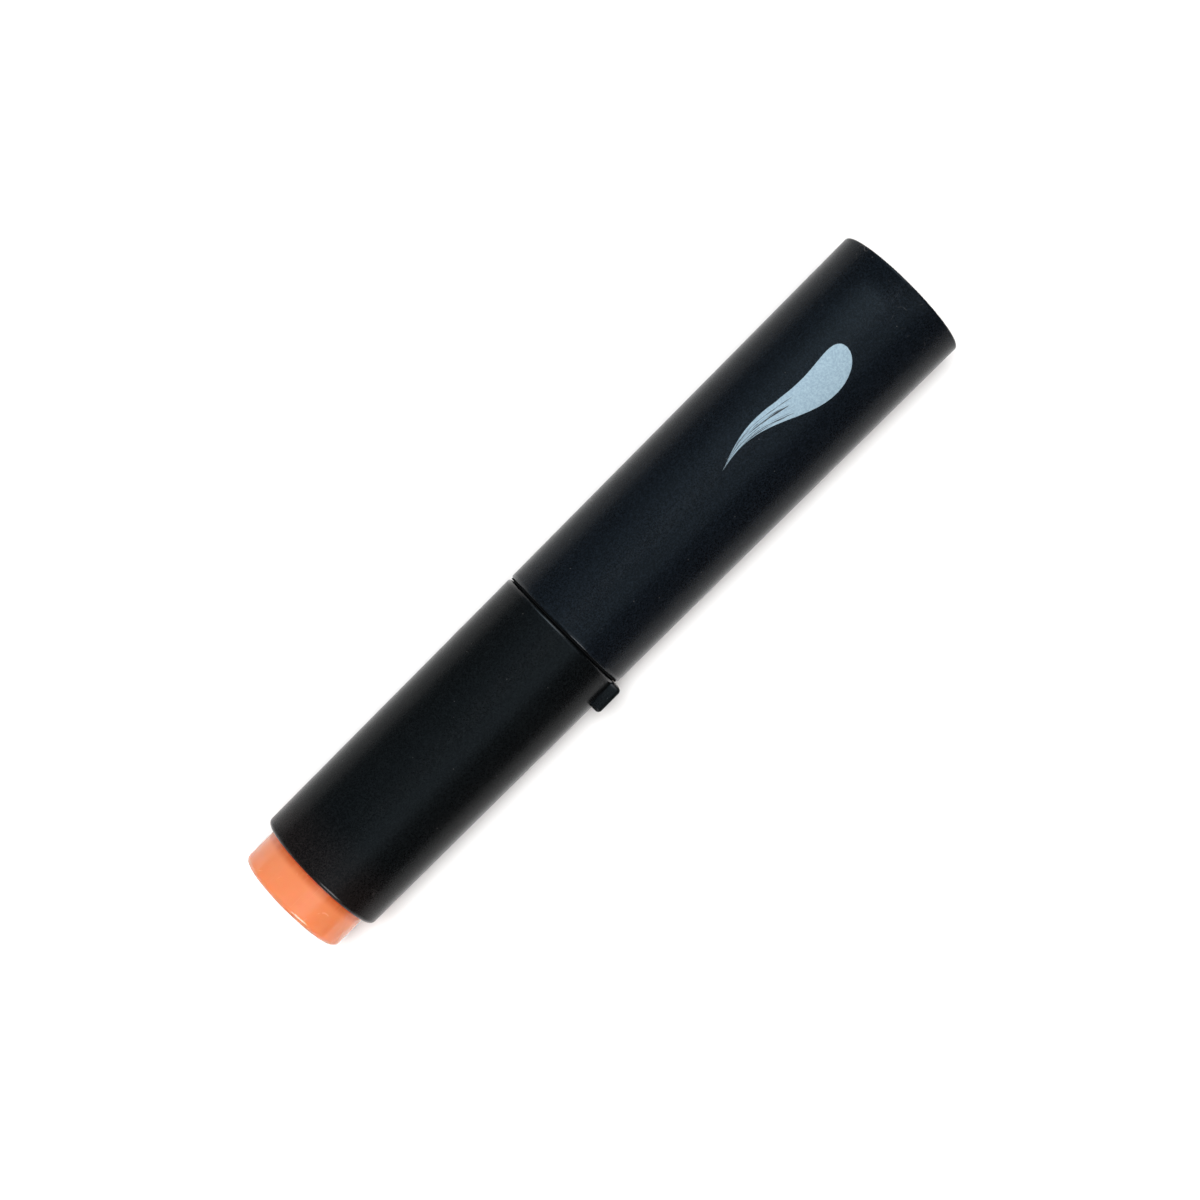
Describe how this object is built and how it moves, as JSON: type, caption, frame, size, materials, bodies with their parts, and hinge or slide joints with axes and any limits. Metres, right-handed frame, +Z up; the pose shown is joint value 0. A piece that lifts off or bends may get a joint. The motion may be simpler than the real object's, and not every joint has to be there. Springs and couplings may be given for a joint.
{
  "type": "brush marker",
  "caption": "Short round brush marker: flared black barrel with a rear-loading ink cartridge, brush nib, and a pull-off cap with an anti-roll tab and an ink-coloured end.",
  "frame": {"origin": "middle of the marker's length, on the surface it lies on, below its axis", "axes": "+X along the marker towards its nib and cap, +Y towards the cap's anti-roll tab, +Z up as it lies"},
  "size_m": [0.0886, 0.0165, 0.0159],
  "materials": {
    "barrel_plastic": "satin black, slightly blue",
    "cap_plastic": "satin black",
    "ink_colour_plastic": "glossy orange",
    "section_plastic": "satin black",
    "nib_fibre": "porous nib, soaked with orange ink",
    "wick_fibre": "bonded fibre rod, soaked with orange ink",
    "case_plastic": "natural white plastic",
    "plug_plastic": "fine-grained black",
    "seal_rubber": "soft dark rubber",
    "core_fibre": "bundled fibre, soaked with orange ink",
    "core_film": "thin clear film",
    "print_ink": "pale grey-blue print on the barrel"
  },
  "bodies": {
    "barrel": {"barrel": "barrel_plastic", "front_section": "section_plastic", "brush_nib": "nib_fibre", "feed_wick": "wick_fibre"},
    "cap": {"cap_shell": "cap_plastic", "inner_cap": "ink_colour_plastic"},
    "cartridge": {"cartridge_tube": "case_plastic", "cartridge_end_plug": "plug_plastic", "cartridge_seal": "seal_rubber", "ink_reservoir": "core_fibre", "reservoir_sleeve": "core_film"}
  },
  "joints": [
    {"name": "cap_pull", "type": "slide", "parent": "barrel", "child": "cap", "axis": [1, 0, 0], "range_m": [0, 0.04]},
    {"name": "cartridge_pull", "type": "slide", "parent": "barrel", "child": "cartridge", "axis": [-1, 0, 0], "range_m": [0, 0.042]}
  ]
}
